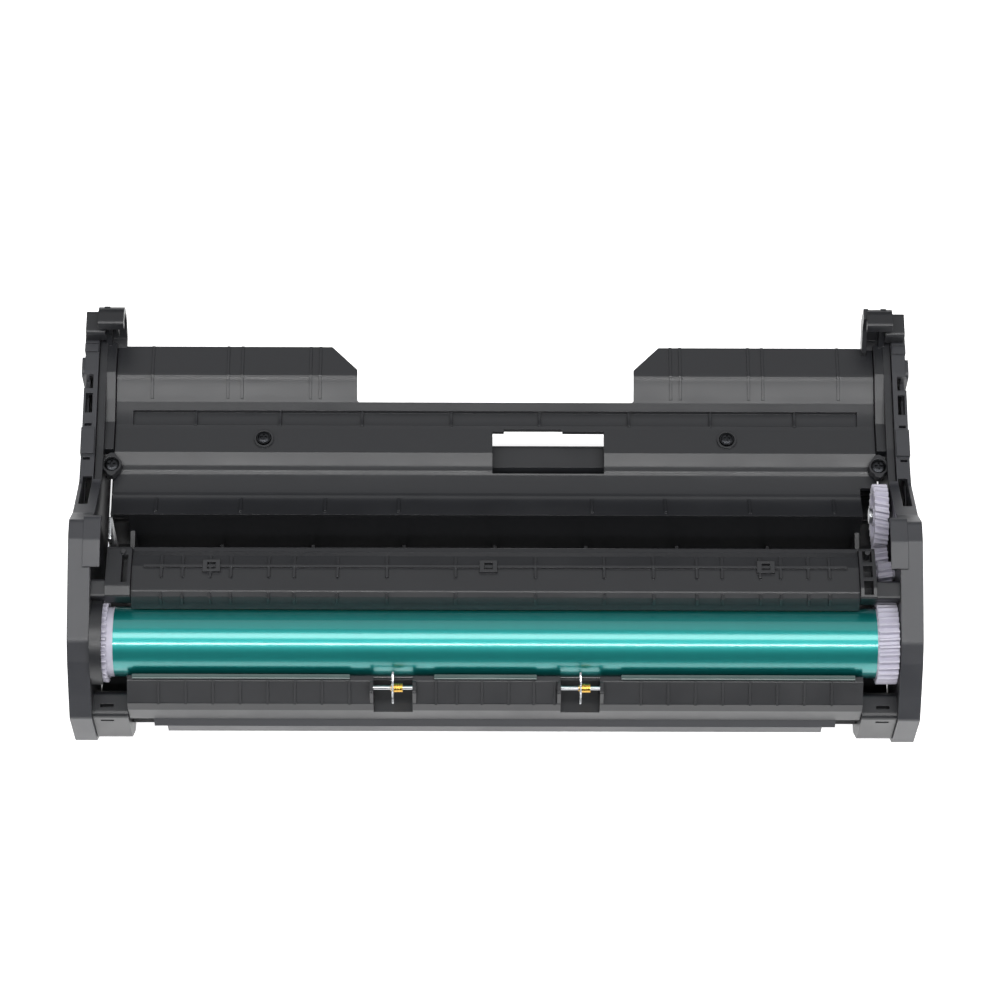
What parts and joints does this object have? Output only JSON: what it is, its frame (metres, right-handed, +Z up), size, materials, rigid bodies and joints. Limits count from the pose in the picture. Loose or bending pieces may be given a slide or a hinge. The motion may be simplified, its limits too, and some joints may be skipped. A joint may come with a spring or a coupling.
{
  "type": "printer drum unit",
  "caption": "Laser printer drum unit: black carriage with a green photoconductor drum, charge roller, cleaner, gear train, curved cover with flaps, end covers and rear grips.",
  "frame": {"origin": "middle of the footprint, at the level of the feet", "axes": "+X along the drum towards the driven end, +Y from the drum side to the grips, +Z up"},
  "size_m": [0.2902, 0.1482, 0.0624],
  "materials": {
    "black_plastic": "moulded black ABS, satin",
    "brass": "turned brass",
    "drum_coating": "green-blue photoconductor coating on aluminium, glossy",
    "felt": "pile felt",
    "film": "polyester film",
    "gear_plastic": "white acetal, semi-translucent",
    "grey_plastic": "moulded dark grey ABS, satin",
    "roller_rubber": "conductive rubber",
    "steel": "zinc-plated or stainless steel",
    "urethane": "amber urethane"
  },
  "bodies": {
    "carriage": {"base_tray": "black_plastic", "blade_bracket": "steel", "blade_screws": "steel", "bottom_guide_plate": "grey_plastic", "charge_block_left": "black_plastic", "charge_block_right": "black_plastic", "charge_spring_left": "steel", "charge_spring_right": "steel", "cleaner_end_left": "black_plastic", "cleaner_end_right": "black_plastic", "cleaner_housing": "black_plastic", "cleaning_blade": "urethane", "cover_screws": "steel", "drum_seals": "felt", "end_cover_left": "grey_plastic", "end_cover_right": "grey_plastic", "front_rail": "black_plastic", "gear_pins": "steel", "rear_tie_bar": "black_plastic", "recovery_film": "film", "shaft_bush_left": "gear_plastic", "shaft_bush_right": "gear_plastic", "side_frame_left": "black_plastic", "side_frame_right": "black_plastic", "star_pin_left": "steel", "star_pin_right": "steel", "upper_cover": "black_plastic", "waste_tank": "black_plastic"},
    "drum": {"drum_tube": "drum_coating", "drum_shaft": "steel", "drum_gear_left": "gear_plastic", "drum_gear_right": "gear_plastic", "drum_ground_plate": "steel"},
    "idler": {"idler_gear": "gear_plastic"},
    "auger": {"waste_auger": "black_plastic", "auger_gear": "gear_plastic"},
    "transfer": {"transfer_gear": "gear_plastic"},
    "upper": {"upper_gear": "gear_plastic"},
    "charge": {"charge_roller": "roller_rubber", "charge_shaft": "steel"},
    "star_left": {"star_wheel_left": "steel", "star_hub_left": "brass"},
    "star_right": {"star_wheel_right": "steel", "star_hub_right": "brass"}
  },
  "joints": [
    {"name": "drum_spin", "type": "hinge", "parent": "carriage", "child": "drum", "pos_m": [0, -0.0489, 0.038], "axis": [1, 0, 0], "continuous": true},
    {"name": "idler_spin", "type": "hinge", "parent": "carriage", "child": "idler", "pos_m": [0.133, -0.03049, 0.03188], "axis": [1, 0, 0], "continuous": true},
    {"name": "auger_spin", "type": "hinge", "parent": "carriage", "child": "auger", "pos_m": [0, -0.02435, 0.04002], "axis": [1, 0, 0], "continuous": true},
    {"name": "transfer_spin", "type": "hinge", "parent": "carriage", "child": "transfer", "pos_m": [0.133, -0.0169, 0.02554], "axis": [1, 0, 0], "continuous": true},
    {"name": "upper_spin", "type": "hinge", "parent": "carriage", "child": "upper", "pos_m": [0.133, 0.00068, 0.03374], "axis": [1, 0, 0], "continuous": true},
    {"name": "charge_roller_spin", "type": "hinge", "parent": "carriage", "child": "charge", "pos_m": [0, -0.04035, 0.02319], "axis": [1, 0, 0], "continuous": true},
    {"name": "star_left_spin", "type": "hinge", "parent": "carriage", "child": "star_left", "pos_m": [-0.0345, -0.0667, 0.041], "axis": [1, 0, 0], "continuous": true},
    {"name": "star_right_spin", "type": "hinge", "parent": "carriage", "child": "star_right", "pos_m": [0.0287, -0.0667, 0.041], "axis": [1, 0, 0], "continuous": true}
  ],
  "couplings": [
    {"joint": "idler_spin", "follows": "drum_spin", "ratio": -2.2},
    {"joint": "auger_spin", "follows": "drum_spin", "ratio": 3.3},
    {"joint": "transfer_spin", "follows": "drum_spin", "ratio": 1.5},
    {"joint": "upper_spin", "follows": "drum_spin", "ratio": -1.2692},
    {"joint": "charge_roller_spin", "follows": "drum_spin", "ratio": -2.4}
  ]
}
